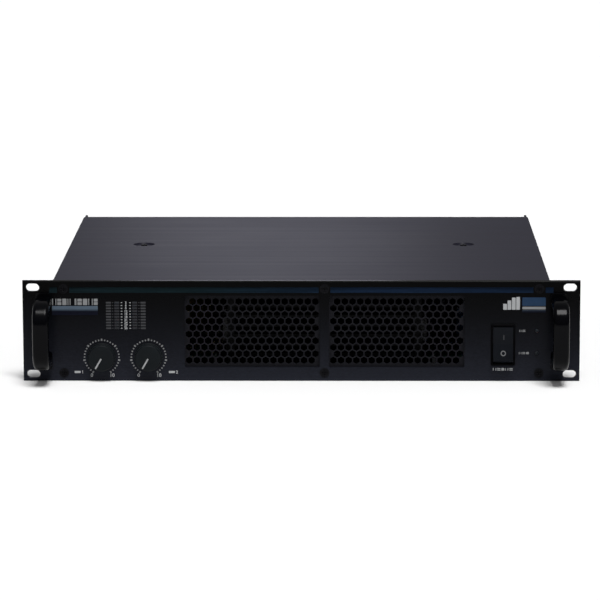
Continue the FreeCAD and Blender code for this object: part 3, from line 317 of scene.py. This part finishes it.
def lens_finish(name, color, glow=0.1):
    """A smoked plastic lens with a cloudy core; glow is how much light soaks into it."""
    f = Finish(name, roughness=0.25, specular=0.12)
    core = f.noise(600.0, 2.0)
    f.color(f.blend(core, shade(color, 0.8), shade(color, 1.25)))
    f.rough(f.remap(core, 0.3, 0.7, 0.3, 0.44))
    f.relief((core, 0.01 * MM))
    f.shader.inputs["Subsurface Weight"].default_value = glow
    f.shader.inputs["Subsurface Scale"].default_value = 0.5 * MM
    return f.material


def print_finish(name, color, wear=0.25):
    """Silk-screen ink with a slightly uneven cover; wear is how much darker its thinnest grains are."""
    f = Finish(name, specular=0.1)
    grain = f.noise(2600.0, 3.0)
    slow = f.noise(140.0, 3.0)
    mixed = f.math("ADD", f.math("MULTIPLY", grain, 0.6), f.math("MULTIPLY", slow, 0.4))
    f.color(f.blend(f.remap(mixed, 0.3, 0.7, 0, 1), shade(color, 1.0 - wear), color))
    f.rough(f.remap(grain, 0.3, 0.7, 0.5, 0.66))
    f.relief((grain, 0.01 * MM))
    return f.material


def underline_finish(name):
    """Ink that fades from pale blue at the top to dark blue at the bottom."""
    f = Finish(name, specular=0.05)
    lo, hi = UNDERLINE_Z
    fade = f.remap(f.axis("Z"), lo, hi, 0, 1)
    dots = f.noise(1800.0, 2.0)
    lower = f.blend(dots, (0.0028, 0.0034, 0.0085), (0.0036, 0.0044, 0.0105))
    upper = f.blend(dots, (0.066, 0.092, 0.125), (0.084, 0.116, 0.152))
    f.color(f.blend(f.remap(fade, 0.42, 0.72, 0, 1), lower, upper))
    f.rough(f.remap(dots, 0.3, 0.7, 0.45, 0.6))
    f.relief((dots, 0.008 * MM))
    return f.material


def sink_finish(name):
    """Extruded and anodised fins: lines along the extrusion and a dusty upper side."""
    f = Finish(name, specular=0.06)
    lines = f.noise(1300.0, 3.0, f.stretched(1.0, 0.015, 1.0))
    dust = f.remap(f.facing("Z"), 0.2, 1.0, 0, 1)
    speck = f.noise(220.0, 5.0)
    black = f.blend(f.remap(lines, 0.35, 0.65, 0, 1), (0.0016, 0.0016, 0.0020), (0.0032, 0.0032, 0.0038))
    f.color(f.blend(f.math("MULTIPLY", f.math("MULTIPLY", dust, speck), 0.08), black, (0.060, 0.057, 0.054)))
    f.rough(f.remap(speck, 0.3, 0.7, 0.38, 0.62))
    f.relief((lines, 0.02 * MM))
    return f.material


# The heights between which the fading ink goes from dark to pale
UNDERLINE_Z = (58.0 * MM, 66.0 * MM)

FINISHES = {
    "panel": panel_finish("panel"),
    "accent": accent_finish("accent"),
    "grille": powder_coat("grille", (0.0080, 0.0080, 0.0102), roughness=0.55, specular=0.05),
    "handle": moulded("handle", (0.0009, 0.0010, 0.0016), roughness=0.17, specular=0.072, grain=1500.0,
                      depth=0.003 * MM),
    "black_screw": plated("black_screw", (0.0105, 0.0105, 0.0120), roughness=0.5),
    "zinc": plated("zinc", (0.62, 0.63, 0.65)),
    "pot": plated("pot", (0.50, 0.50, 0.52)),
    "shaft": brushed("shaft", (0.60, 0.60, 0.62), along="Y"),
    "knob": moulded("knob", (0.0050, 0.0068, 0.0082), roughness=0.5, specular=0.09, grain=2600.0),
    "board": board_finish("board"),
    "meter_light": lens_finish("meter_light", (0.021, 0.022, 0.026)),
    "status_light": lens_finish("status_light", (0.010, 0.013, 0.016)),
    "switch": moulded("switch", (0.0016, 0.0016, 0.0020), roughness=0.6, specular=0.02),
    "rocker": moulded("rocker", (0.0040, 0.0049, 0.0070), roughness=0.34, specular=0.07, grain=1700.0,
                      depth=0.01 * MM),
    "chassis": powder_coat("chassis", (0.0125, 0.0123, 0.0170), roughness=0.46, specular=0.15),
    "cover": cover_finish("cover"),
    "winding": winding_finish("winding"),
    "heatsink": sink_finish("heatsink"),
    "transistor": moulded("transistor", (0.02, 0.02, 0.021), roughness=0.5),
    "relay": moulded("relay", (0.02, 0.08, 0.26), roughness=0.25, specular=0.5),
    "capacitor": capacitor_finish("capacitor"),
    "rectifier": moulded("rectifier", (0.025, 0.025, 0.026), roughness=0.5),
    "fan": moulded("fan", (0.012, 0.012, 0.013), roughness=0.42),
    "guard": plated("guard", (0.72, 0.73, 0.76), roughness=0.16),
    "inlet": moulded("inlet", (0.014, 0.014, 0.015), roughness=0.4),
    "blade": brushed("blade", (0.68, 0.58, 0.34), along="Y"),
    "breaker": moulded("breaker", (0.017, 0.017, 0.018), roughness=0.45),
    "breaker_button": moulded("breaker_button", (0.55, 0.55, 0.52), roughness=0.38),
    "socket": powder_coat("socket", (0.018, 0.018, 0.020), roughness=0.42, specular=0.45),
    "jack": moulded("jack", (0.017, 0.017, 0.018), roughness=0.4),
    "latch": brushed("latch", (0.50, 0.50, 0.52), along="X"),
    "post": brushed("post", (0.78, 0.58, 0.24), roughness=0.22, along="Y"),
    "cap_black": moulded("cap_black", (0.010, 0.010, 0.011), roughness=0.3, specular=0.5),
    "cap_red": moulded("cap_red", (0.36, 0.012, 0.012), roughness=0.3, specular=0.5),
    "mode_switch": brushed("mode_switch", (0.50, 0.50, 0.52), along="Z"),
    "slider": moulded("slider", (0.03, 0.03, 0.03), roughness=0.45),
}
INKS = {
    "ink_white": print_finish("ink_white", (0.42, 0.43, 0.44)),
    "ink_scale": print_finish("ink_scale", (0.24, 0.245, 0.25)),
    "ink_soft": print_finish("ink_soft", (0.145, 0.148, 0.152)),
    "ink_dim": print_finish("ink_dim", (0.050, 0.051, 0.055)),
    "ink_blue": print_finish("ink_blue", (0.017, 0.041, 0.088)),
    "ink_fade": underline_finish("ink_fade"),
}


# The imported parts: each takes its slot's finish

def dress(node, slot):
    """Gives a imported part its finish."""
    obj = NODES[node]
    obj.data.materials.clear()
    obj.data.materials.append(FINISHES[slot])


for row in frame["record"]["subparts"]:
    dress(row["node"], row["material_slot"])


# Printed marks: flat shapes in x and z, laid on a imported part's surface as a thin layer of ink


CAP_HEIGHT = 0.69  # of the font, for a size of 1


class Stencil:
    """Collects flat shapes that become one thin printed piece. Places and sizes are in millimetres."""

    def __init__(self):
        self.mesh = bmesh.new()

    def outline(self, points):
        self.mesh.faces.new([self.mesh.verts.new((x * MM, 0.0, z * MM)) for x, z in points])

    def bar(self, x, z, width, height, radius=0.25, turn=0.0):
        """A rounded bar centred on x, z; turn is clockwise in degrees seen from the front."""
        radius = min(radius, width / 2, height / 2)
        points = []
        for sx, sz, start in ((1, 1, 0), (-1, 1, 90), (-1, -1, 180), (1, -1, 270)):
            for step in range(4):
                a = math.radians(start + 30 * step)
                px = sx * (width / 2 - radius) + radius * math.cos(a)
                pz = sz * (height / 2 - radius) + radius * math.sin(a)
                points.append((px, pz))
        c, s = math.cos(math.radians(-turn)), math.sin(math.radians(-turn))
        self.outline([(x + px * c - pz * s, z + px * s + pz * c) for px, pz in points])

    def arc(self, x, z, radius, width, start, sweep, steps=24):
        """Part of a ring; angles are clockwise in degrees from the top."""
        for i in range(steps):
            a = math.radians(start + sweep * i / steps)
            b = math.radians(start + sweep * (i + 1) / steps)
            corners = ((radius, a), (radius, b), (radius - width, b), (radius - width, a))
            self.outline([(x + r * math.sin(t), z + r * math.cos(t)) for r, t in corners])

    def frame(self, x0, x1, z0, z1, width):
        """The outline of a box."""
        for x, z, w, h in (
            ((x0 + x1) / 2, z0, x1 - x0, width),
            ((x0 + x1) / 2, z1, x1 - x0, width),
            (x0, (z0 + z1) / 2, width, z1 - z0 - width),
            (x1, (z0 + z1) / 2, width, z1 - z0 - width),
        ):
            self.bar(x, z, w, h, 0.1)

    def digits(self, text, x, z, height, bold=0.0):
        """Numbers of a scale, centred on x, z."""
        curve = bpy.data.curves.new("digits", "FONT")
        curve.offset = bold * MM
        curve.body = text
        curve.size = height * MM / CAP_HEIGHT
        curve.align_x = "CENTER"
        curve.resolution_u = 3
        obj = bpy.data.objects.new("digits", curve)
        flat = bpy.data.meshes.new_from_object(obj)
        upright = Matrix.Rotation(math.pi / 2, 4, "X")
        flat.transform(Matrix.Translation((x * MM, 0, (z - height / 2) * MM)) @ upright)
        self.mesh.from_mesh(flat)
        bpy.data.meshes.remove(flat)
        bpy.data.objects.remove(obj)
        bpy.data.curves.remove(curve)

    def lay(self, name, node, ink, body="root", from_rear=False):
        """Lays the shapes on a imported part's surface, mirrored for the rear so that they read from behind."""
        mesh = self.mesh
        bmesh.ops.remove_doubles(mesh, verts=mesh.verts, dist=0.001 * MM)
        surface = surface_of(node)
        toward = -1.0 if from_rear else 1.0
        clear = 10 * MM
        if from_rear:
            bmesh.ops.scale(mesh, vec=(-1.0, 1.0, 1.0), verts=mesh.verts)
        start_y = (cad_hi.y if from_rear else cad_lo.y) - toward * clear
        extruded = bmesh.ops.extrude_face_region(mesh, geom=mesh.faces[:])
        under = {v for v in extruded["geom"] if isinstance(v, bmesh.types.BMVert)}
        for v in mesh.verts:
            hit = surface.ray_cast(Vector((v.co.x, start_y, v.co.z)), Vector((0, toward, 0)))[0]
            v.co.y = hit.y + toward * (PRINT_SINK if v in under else -PRINT_T)
        bmesh.ops.recalc_face_normals(mesh, faces=mesh.faces)
        return mesh_piece(name, mesh, INKS[ink], body)


def surface_of(node):
    """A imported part's surface, for rays to hit."""
    data = NODES[node].data
    return BVHTree.FromPolygons([v.co for v in data.vertices], [list(p.vertices) for p in data.polygons])


def mesh_piece(name, mesh, material, body):
    """Turns a bmesh into a piece that rides on a body."""
    data = bpy.data.meshes.new(name)
    mesh.to_mesh(data)
    mesh.free()
    data.materials.append(material)
    obj = bpy.data.objects.new(name, data)
    bpy.context.scene.collection.objects.link(obj)
    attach(obj, body)
    return obj


def glyph_row(stencil, x0, z, height, widths, gap=0.9, stroke=0.75):
    """Stands in for a line of lettering with plain blocks: in turn two strokes, two halves and one solid."""
    x = x0
    for i, width in enumerate(widths):
        cx = x + width / 2
        if i % 3 == 0:
            stencil.bar(x + stroke / 2, z, stroke, height, 0.1)
            stencil.bar(x + width - stroke / 2, z, stroke, height, 0.1)
        elif i % 3 == 1:
            stencil.bar(cx, z + height / 4 + 0.1, width, height / 2 - 0.3, 0.2)
            stencil.bar(cx, z - height / 4 - 0.1, width, height / 2 - 0.3, 0.2)
        else:
            stencil.bar(cx, z, width, height, 0.3)
        x += width + gap


TICK_R = 15.0
TICK_COUNT = 31
TICK_SWEEP = 300.0
LONG_TICK_EVERY = 5
SHORT_TICK_W, SHORT_TICK_L = 1.05, 1.3
LONG_TICK_W, LONG_TICK_L = 1.3, 1.9
SCALE_END_X, SCALE_END_Z, SCALE_END_H = 8.8, -16.0, 3.0
POINTER_R, POINTER_W, POINTER_L = 5.4, 1.35, 10.4
POINTER_TURN = 180.0 - TICK_SWEEP / 2
CHANNEL_MARKS = (("1", -193.0), ("2", -111.0))
CHANNEL_MARK_Z = 7.7


def knob_scale(i):
    """A ring of ticks round a level knob, a number at each end of its turn, and the pointer in its groove."""
    centre = middle(f"level_knob_{i}") / MM
    x, z = centre.x, centre.z
    ring = Stencil()
    for tick in range(TICK_COUNT):
        turn = -TICK_SWEEP / 2 + TICK_SWEEP * tick / (TICK_COUNT - 1)
        a = math.radians(turn)
        is_long = tick % LONG_TICK_EVERY == 0
        width, length = (LONG_TICK_W, LONG_TICK_L) if is_long else (SHORT_TICK_W, SHORT_TICK_L)
        r = TICK_R + (length - SHORT_TICK_L) / 2
        ring.bar(x + r * math.sin(a), z + r * math.cos(a), width, length, 0.2, turn)
    ring.lay(f"level_scale_{i}", "front_panel", "ink_scale")
    ends = Stencil()
    ends.digits("0", x - SCALE_END_X, z + SCALE_END_Z, SCALE_END_H, 0.12)
    ends.digits("10", x + SCALE_END_X, z + SCALE_END_Z, SCALE_END_H, 0.12)
    ends.lay(f"level_scale_ends_{i}", "front_panel", "ink_white")
    a = math.radians(POINTER_TURN)
    px, pz = x - POINTER_R * math.sin(a), z - POINTER_R * math.cos(a)
    pointer = Stencil()
    pointer.bar(px, pz, POINTER_W, POINTER_L, 0.6, POINTER_TURN)
    pointer.lay(f"level_pointer_{i}", f"level_knob_{i}", "ink_white", f"knob_{i}")


def knob_scales():
    """Both knobs' scales, and the number of each channel with a plain block for its word."""
    for i in (1, 2):
        knob_scale(i)
    channels = Stencil()
    for number, x in CHANNEL_MARKS:
        channels.bar(x - 1.4, CHANNEL_MARK_Z, 5.2, 1.9, 0.3)
        channels.digits(number, x + 3.0, CHANNEL_MARK_Z, 2.6, 0.1)
    channels.lay("channel_marks", "front_panel", "ink_white")


METER_NUMBERS = ("30", "27", "24", "21", "18", "15", "12", "9", "6", "3")
METER_NUMBER_H = 1.85
METER_LIGHT_H = 1.6
# How far from the meter's centre line each mark is, then its width, height and corner radius
NUMBER_DASH = (3.7, 1.3, 0.6, 0.1)
OUTER_MARKS = ((11.4, 1.1, 0.6, 0.1), (15.0, 4.4, 1.5, 0.3))


def meter_print():
    """Three printed scales: numbers between the two columns of lights, and marks outside them."""
    lo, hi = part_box("meter_leds")
    x = (lo.x + hi.x) / 2 / MM
    pitch = ((hi.z - lo.z) / MM - METER_LIGHT_H) / (len(METER_NUMBERS) - 1)
    z0 = lo.z / MM + METER_LIGHT_H / 2
    numbers = Stencil()
    outer = Stencil()
    for row, text in enumerate(METER_NUMBERS):
        z = z0 + row * pitch
        numbers.digits(text, x, z, METER_NUMBER_H, 0.1)
        for side in (-1, 1):
            out, *dash = NUMBER_DASH
            numbers.bar(x + side * out, z, *dash)
            for out, *mark in OUTER_MARKS:
                outer.bar(x + side * out, z, *mark)
    numbers.lay("meter_numbers", "front_panel", "ink_white")
    outer.lay("meter_ticks", "front_panel", "ink_dim")


BADGE_BAR_X, BADGE_BAR_Z, BADGE_BAR_W, BADGE_BAR_PITCH = 176.3, 62.8, 3.2, 3.75
BADGE_BAR_HEIGHTS = (5.2, 8.2, 10.6, 11.2)
BADGE_PLATE_X, BADGE_PLATE_W = 201.3, 20.2


def badge_print():
    """A plain badge: rising bars, then a blue plate with a pale strip and a fading foot under it."""
    bars = Stencil()
    for i, height in enumerate(BADGE_BAR_HEIGHTS):
        bars.bar(BADGE_BAR_X + BADGE_BAR_PITCH * i, BADGE_BAR_Z + height / 2, BADGE_BAR_W, height, 0.5)
    bars.lay("badge_bars", "front_panel", "ink_white")
    plate = Stencil()
    plate.bar(BADGE_PLATE_X, 69.9, BADGE_PLATE_W, 7.4, 0.6)
    plate.lay("badge_plate", "front_panel", "ink_blue")
    strip = Stencil()
    strip.bar(BADGE_PLATE_X, 64.3, BADGE_PLATE_W, 2.3, 0.5)
    strip.lay("badge_strip", "front_panel", "ink_scale")
    foot = Stencil()
    foot.bar(BADGE_PLATE_X, 61.4, BADGE_PLATE_W, 2.2, 0.3)
    foot.lay("badge_foot", "front_panel", "ink_fade")


MODEL_Z, MODEL_H = 69.6, 5.6
MODEL_LINE_X, MODEL_LINE_W = -196.0, 39.6


def model_print():
    """A row of plain blocks where the type plate is, over a fading line."""
    row = Stencil()
    glyph_row(row, -215.6, MODEL_Z, MODEL_H, (3.6, 3.4, 3.6, 2.6))
    glyph_row(row, -196.2, MODEL_Z, MODEL_H, (1.6, 3.8, 3.8, 3.8, 3.4))
    row.lay("model_marks", "front_panel", "ink_scale")
    line = Stencil()
    low, high = UNDERLINE_Z
    line.bar(MODEL_LINE_X, (low + high) / 2 / MM, MODEL_LINE_W, (high - low) / MM, 0.2)
    line.lay("model_line", "front_panel", "ink_fade")


def switch_print():
    """The on and off marks of the rocker, and plain blocks for the words under it and beside the lights."""
    words = Stencil()
    glyph_row(words, 166.2, 10.3, 2.3, (3.0, 2.8, 2.4, 2.8, 3.0), gap=0.8, stroke=0.7)
    words.lay("switch_words", "front_panel", "ink_white")
    status = Stencil()
    glyph_row(status, 188.6, 24.6, 1.9, (2.2, 2.6, 2.4), gap=0.7, stroke=0.5)
    glyph_row(status, 188.8, 44.2, 1.9, (1.8, 2.6), gap=0.8, stroke=0.5)
    status.lay("status_words", "front_panel", "ink_scale")
    on_mark = Stencil()
    on_mark.bar(175.4, 38.6, 0.9, 4.2, 0.2)
    on_mark.lay("rocker_on_mark", "power_switch_rocker", "ink_dim", "rocker")
    off_mark = Stencil()
    off_mark.arc(174.9, 25.2, 2.3, 0.85, 0.0, 360.0)
    off_mark.lay("rocker_off_mark", "power_switch_rocker", "ink_soft", "rocker")


# The boxes round the inputs, the binding posts and the speaker sockets: x and z limits seen from behind
REAR_GROUPS = ((137.0, 199.0, 6.0, 83.0), (74.0, 117.0, 16.0, 82.0), (-143.0, -107.0, 4.5, 83.5))
POST_SIGN_Z, POST_SIGN_L, POST_SIGN_W = 44.0, 3.6, 0.9


def rear_print():
    """Outlines round the groups of connectors, numbers, polarity signs and plain blocks for words.

    Places are as seen from behind, where x runs to the right."""
    lines = Stencil()
    for box in REAR_GROUPS:
        lines.frame(*box, 0.5)
    lines.lay("rear_outlines", "rear_panel", "ink_soft", from_rear=True)
    words = Stencil()
    for number, node in enumerate(("input_latch_2", "input_latch_1"), 1):
        x = -middle(node).x / MM
        words.digits(str(number), x - 6.0, 37.0, 3.4, 0.1)
        glyph_row(words, x - 2.0, 37.0, 2.2, (1.8, 1.6, 2.0), gap=0.6, stroke=0.5)
        glyph_row(words, x - 9.0, 78.4, 2.6, (2.4, 2.6, 2.2, 2.6, 2.4), gap=0.8, stroke=0.6)
        glyph_row(words, x - 5.6, 10.0, 2.0, (2.0, 1.8, 2.2, 1.8), gap=0.6, stroke=0.5)
    for cap, is_positive in (("post_cap_1", False), ("post_cap_2", True)):
        x = -middle(cap).x / MM
        words.bar(x, POST_SIGN_Z, POST_SIGN_L, POST_SIGN_W, 0.1)
        if is_positive:
            words.bar(x, POST_SIGN_Z, POST_SIGN_W, POST_SIGN_L, 0.1)
    glyph_row(words, 85.5, 75.0, 2.6, (2.4, 2.6, 2.2, 2.6, 2.4, 2.6), gap=0.8, stroke=0.6)
    glyph_row(words, -137.6, 43.5, 2.2, (2.2, 2.0, 2.4), gap=0.7, stroke=0.5)
    for node, z in (("mode_switch_body", 70.0), ("circuit_breaker", 78.5)):
        glyph_row(words, -middle(node).x / MM - 5.4, z, 2.2, (2.0, 2.4, 2.0, 1.8), gap=0.7, stroke=0.5)
    glyph_row(words, -190.0, 46.8, 2.2, (2.4, 2.0, 2.6, 2.2, 2.4, 2.0, 2.6, 2.2, 2.4), gap=0.8, stroke=0.6)
    words.lay("rear_words", "rear_panel", "ink_scale", from_rear=True)


knob_scales()
meter_print()
badge_print()
model_print()
switch_print()
rear_print()


# Stage, lights and camera


HORIZON_LIGHT = 0.10
OVERHEAD_LIGHT = 0.28
WORLD_SEEN = 1.0
CAMERA_LENS = 204.1
CAMERA_ROLL = -0.113
CAMERA_PLACE = Vector((0.036, -2.896, 0.590))
CAMERA_AIM = Vector((-0.001, 0.0, 0.0713))


def light(name, kind, at, aim, energy, size, color=(1.0, 1.0, 1.0)):
    """A lamp that the camera doesn't see; size is a sun's angle in degrees or an area's sides in metres."""
    data = bpy.data.lights.new(name, kind)
    data.energy = energy
    data.color = color
    if kind == "AREA":
        data.shape = "RECTANGLE"
        data.size, data.size_y = size
    else:
        data.angle = math.radians(size)
    obj = bpy.data.objects.new(name, data)
    bpy.context.scene.collection.objects.link(obj)
    obj.location = at
    obj.rotation_euler = (Vector(aim) - Vector(at)).to_track_quat("-Z", "Y").to_euler()
    obj.visible_camera = False
    return obj


def floor():
    """A wide white sheet just under the part."""
    size = 40.0
    sheet = bmesh.new()
    bmesh.ops.create_grid(sheet, x_segments=4, y_segments=4, size=size / 2)
    data = bpy.data.meshes.new("floor")
    sheet.to_mesh(data)
    sheet.free()
    f = Finish("floor_paper", roughness=0.9, specular=0.1)
    f.color(f.blend(f.noise(3.0, 3.0), (0.90, 0.90, 0.90), (0.92, 0.92, 0.92)))
    data.materials.append(f.material)
    obj = bpy.data.objects.new("floor", data)
    bpy.context.scene.collection.objects.link(obj)
    obj.location = (0, 0, cad_lo.z - 0.2 * MM)


def studio():
    """White to the camera; as a light it is dim at the horizon and brighter overhead."""
    world = bpy.data.worlds.new("studio")
    bpy.context.scene.world = world
    world.use_nodes = True
    tree = world.node_tree
    back = tree.nodes["Background"]
    back.inputs["Color"].default_value = (1.0, 1.0, 1.0, 1.0)
    direction = tree.nodes.new("ShaderNodeTexCoord")
    parts = tree.nodes.new("ShaderNodeSeparateXYZ")
    rise = tree.nodes.new("ShaderNodeMapRange")
    rise.inputs["From Min"].default_value = 0.05
    rise.inputs["From Max"].default_value = 0.5
    rise.inputs["To Min"].default_value = HORIZON_LIGHT
    rise.inputs["To Max"].default_value = OVERHEAD_LIGHT
    path = tree.nodes.new("ShaderNodeLightPath")
    strength = tree.nodes.new("ShaderNodeMapRange")
    strength.inputs["To Max"].default_value = WORLD_SEEN
    tree.links.new(direction.outputs["Generated"], parts.inputs["Vector"])
    tree.links.new(parts.outputs["Z"], rise.inputs["Value"])
    tree.links.new(rise.outputs["Result"], strength.inputs["To Min"])
    tree.links.new(path.outputs["Is Camera Ray"], strength.inputs["Value"])
    tree.links.new(strength.outputs["Result"], back.inputs["Strength"])


def camera():
    """The photograph's view: a long lens a little above the front panel."""
    data = bpy.data.cameras.new("camera")
    data.lens = CAMERA_LENS
    data.sensor_width = 36.0
    data.clip_end = 100.0
    obj = bpy.data.objects.new("camera", data)
    bpy.context.scene.collection.objects.link(obj)
    front = Vector((0.0, FRONT_Y, 0.0))
    obj.location = front + CAMERA_PLACE
    level = Quaternion((0, 0, 1), math.radians(CAMERA_ROLL))
    obj.rotation_euler = ((CAMERA_AIM - CAMERA_PLACE).to_track_quat("-Z", "Y") @ level).to_euler()
    bpy.context.scene.camera = obj


floor()
studio()
light("overhead", "SUN", at=(0.3, -1.0, 2.4), aim=(0, 0, 0), energy=3.1, size=25.0)
light("back_soft", "AREA", at=(-0.10, 2.6, 0.72), aim=(-0.03, 0.0, 0.08), energy=0.95, size=(0.45, 0.4),
      color=(0.86, 0.86, 1.0))
camera()
bpy.context.scene.view_settings.view_transform = "Standard"
